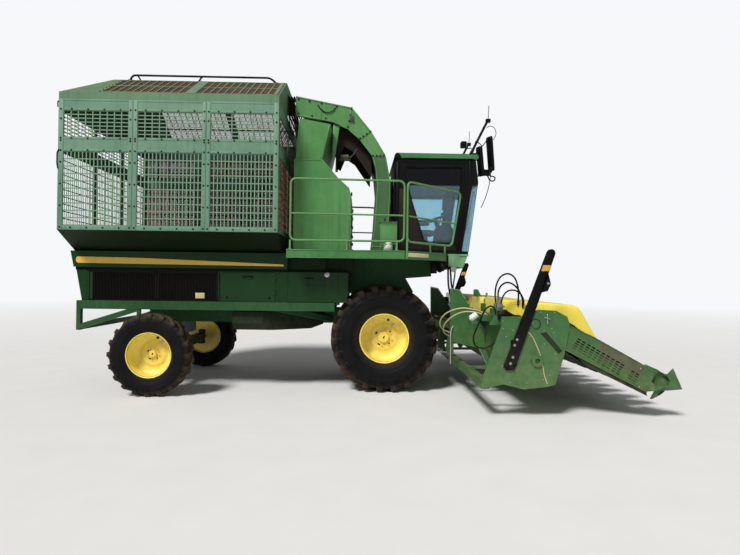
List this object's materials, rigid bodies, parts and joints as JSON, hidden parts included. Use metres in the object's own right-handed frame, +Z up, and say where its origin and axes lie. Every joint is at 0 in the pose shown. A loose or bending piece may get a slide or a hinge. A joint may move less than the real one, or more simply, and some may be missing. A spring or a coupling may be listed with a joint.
{
  "type": "cotton harvester",
  "caption": "Self-propelled cotton stripper with a mesh basket that dumps to the left, cab, air duct and a row header with slotted row units.",
  "frame": {"origin": "ground point under the middle of the machine's length and width", "axes": "+X forward, +Y to the machine's left, +Z up"},
  "size_m": [9.57, 6.24, 5.614],
  "materials": {
    "frame_green": "weathered",
    "axle_green": "weathered",
    "rim_yellow": "weathered",
    "tyre_rubber": "weathered",
    "panel_green": "weathered",
    "screen_black": "weathered",
    "engine_grey": "weathered",
    "tank_green": "weathered",
    "platform_green": "weathered",
    "rail_green": "weathered",
    "cab_black": "weathered",
    "cab_glass": "weathered",
    "seat_fabric": "weathered",
    "black_plastic": "weathered",
    "lamp_white": "weathered",
    "duct_green": "weathered",
    "basket_green": "weathered",
    "mesh_rust": "weathered",
    "hopper_green": "weathered",
    "rail_black": "weathered",
    "cylinder_black": "weathered",
    "rod_chrome": "weathered",
    "header_green": "weathered",
    "auger_steel": "weathered",
    "roll_black": "weathered",
    "hood_yellow": "weathered"
  },
  "bodies": {
    "chassis": {"main_frame": "frame_green", "front_axle": "axle_green", "rear_axle": "axle_green", "body_shell": "panel_green", "air_screens": "screen_black", "engine": "engine_grey", "fuel_tanks": "tank_green", "platform": "platform_green", "handrails": "rail_green", "ladder": "platform_green", "cab_frame": "cab_black", "cab_roof": "panel_green", "cab_glass": "cab_glass", "cab_skirt": "platform_green", "seat": "seat_fabric", "steering_column": "black_plastic", "mirrors": "black_plastic", "lamps": "lamp_white", "lower_duct": "duct_green", "upright_duct": "duct_green", "duct_hood": "duct_green", "cleaner_box": "duct_green"},
    "front_wheel_right": {"front_rim_right": "rim_yellow", "front_tyre_right": "tyre_rubber"},
    "front_wheel_left": {"front_rim_left": "rim_yellow", "front_tyre_left": "tyre_rubber"},
    "steer_right": {"knuckle_right": "axle_green"},
    "steer_left": {"knuckle_left": "axle_green"},
    "rear_wheel_right": {"rear_rim_right": "rim_yellow", "rear_tyre_right": "tyre_rubber"},
    "rear_wheel_left": {"rear_rim_left": "rim_yellow", "rear_tyre_left": "tyre_rubber"},
    "track_rod": {"tie_rod": "cylinder_black"},
    "side_door_right": {"service_door_right": "panel_green"},
    "side_door_left": {"service_door_left": "panel_green"},
    "cab_entry": {"cab_door": "cab_black", "cab_door_glass": "cab_glass"},
    "basket": {"basket_frame": "basket_green", "basket_mesh": "mesh_rust", "hopper_bottom": "hopper_green", "basket_hood": "basket_green", "hood_screen": "mesh_rust", "roof_rail": "rail_black"},
    "lid": {"basket_lid": "mesh_rust"},
    "dump_cylinders": {"dump_barrels": "cylinder_black"},
    "dump_pistons": {"dump_rods": "rod_chrome"},
    "header": {"header_frame": "header_green", "row_units": "header_green", "stripper_rolls": "roll_black", "row_hoods": "hood_yellow", "marker_arms": "cylinder_black"},
    "auger": {"cross_auger": "auger_steel"},
    "lift_cylinders": {"lift_barrels": "cylinder_black"},
    "lift_pistons": {"lift_rods": "rod_chrome"}
  },
  "joints": [
    {"name": "front_wheel_right_turn", "type": "hinge", "parent": "chassis", "child": "front_wheel_right", "pos_m": [0.595, -1, 0.94], "axis": [0, 1, 0], "continuous": true},
    {"name": "steer_right_pivot", "type": "hinge", "parent": "chassis", "child": "steer_right", "pos_m": [-3.285, -1.38, 0.68], "axis": [0, 0, 1], "range_deg": [-30, 30]},
    {"name": "rear_wheel_right_turn", "type": "hinge", "parent": "steer_right", "child": "rear_wheel_right", "pos_m": [-3.285, -1.63, 0.68], "axis": [0, 1, 0], "continuous": true},
    {"name": "front_wheel_left_turn", "type": "hinge", "parent": "chassis", "child": "front_wheel_left", "pos_m": [0.595, 1, 0.94], "axis": [0, 1, 0], "continuous": true},
    {"name": "steer_left_pivot", "type": "hinge", "parent": "chassis", "child": "steer_left", "pos_m": [-3.285, 1.38, 0.68], "axis": [0, 0, 1], "range_deg": [-30, 30]},
    {"name": "rear_wheel_left_turn", "type": "hinge", "parent": "steer_left", "child": "rear_wheel_left", "pos_m": [-3.285, 1.63, 0.68], "axis": [0, 1, 0], "continuous": true},
    {"name": "track_rod_pivot", "type": "hinge", "parent": "steer_right", "child": "track_rod", "pos_m": [-3.585, -1.38, 0.62], "axis": [0, 0, 1], "range_deg": [-30, 30]},
    {"name": "side_door_right_hinge", "type": "hinge", "parent": "chassis", "child": "side_door_right", "pos_m": [-1.296, -1.311, 1.78], "axis": [0, 0, 1], "range_deg": [0, 100]},
    {"name": "side_door_left_hinge", "type": "hinge", "parent": "chassis", "child": "side_door_left", "pos_m": [-1.296, 1.311, 1.78], "axis": [0, 0, -1], "range_deg": [0, 100]},
    {"name": "cab_door_hinge", "type": "hinge", "parent": "chassis", "child": "cab_entry", "pos_m": [0.845, 0.891, 3.3], "axis": [0, 0, 1], "range_deg": [0, 75]},
    {"name": "basket_dump", "type": "hinge", "parent": "chassis", "child": "basket", "pos_m": [-2.98, 1.38, 2.436], "axis": [-1, 0, 0], "range_deg": [0, 48]},
    {"name": "lid_hinge", "type": "hinge", "parent": "basket", "child": "lid", "pos_m": [-2.705, 0.92866, 5.4876], "axis": [1, 0, 0], "range_deg": [0, 80]},
    {"name": "dump_cylinder_pivot", "type": "hinge", "parent": "chassis", "child": "dump_cylinders", "pos_m": [-2.89, 0.85, 1.45], "axis": [1, 0, 0], "range_deg": [-30, 2]},
    {"name": "dump_piston_slide", "type": "slide", "parent": "dump_cylinders", "child": "dump_pistons", "axis": [0, -0.5478, 0.8366], "range_m": [-0.005, 0.76]},
    {"name": "header_lift", "type": "hinge", "parent": "chassis", "child": "header", "pos_m": [0.895, 0, 1.25], "axis": [0, -1, 0], "range_deg": [-3, 12]},
    {"name": "auger_turn", "type": "hinge", "parent": "header", "child": "auger", "pos_m": [2.681, 0, 0.839], "axis": [0, 1, 0], "continuous": true},
    {"name": "lift_cylinder_pivot", "type": "hinge", "parent": "chassis", "child": "lift_cylinders", "pos_m": [0.925, 0, 0.7], "axis": [0, -1, 0], "range_deg": [-6, 14]},
    {"name": "lift_piston_slide", "type": "slide", "parent": "lift_cylinders", "child": "lift_pistons", "axis": [0.9978, 0, -0.0665], "range_m": [-0.06, 0.18]}
  ],
  "couplings": [
    {"joint": "steer_left_pivot", "follows": "steer_right_pivot", "ratio": 1},
    {"joint": "track_rod_pivot", "follows": "steer_right_pivot", "ratio": -1},
    {"joint": "dump_cylinder_pivot", "follows": "basket_dump", "ratio": -0.4794},
    {"joint": "dump_piston_slide", "follows": "basket_dump", "m_per_rad": 0.8862},
    {"joint": "lift_cylinder_pivot", "follows": "header_lift", "ratio": 1.024},
    {"joint": "lift_piston_slide", "follows": "header_lift", "m_per_rad": 0.5496}
  ]
}
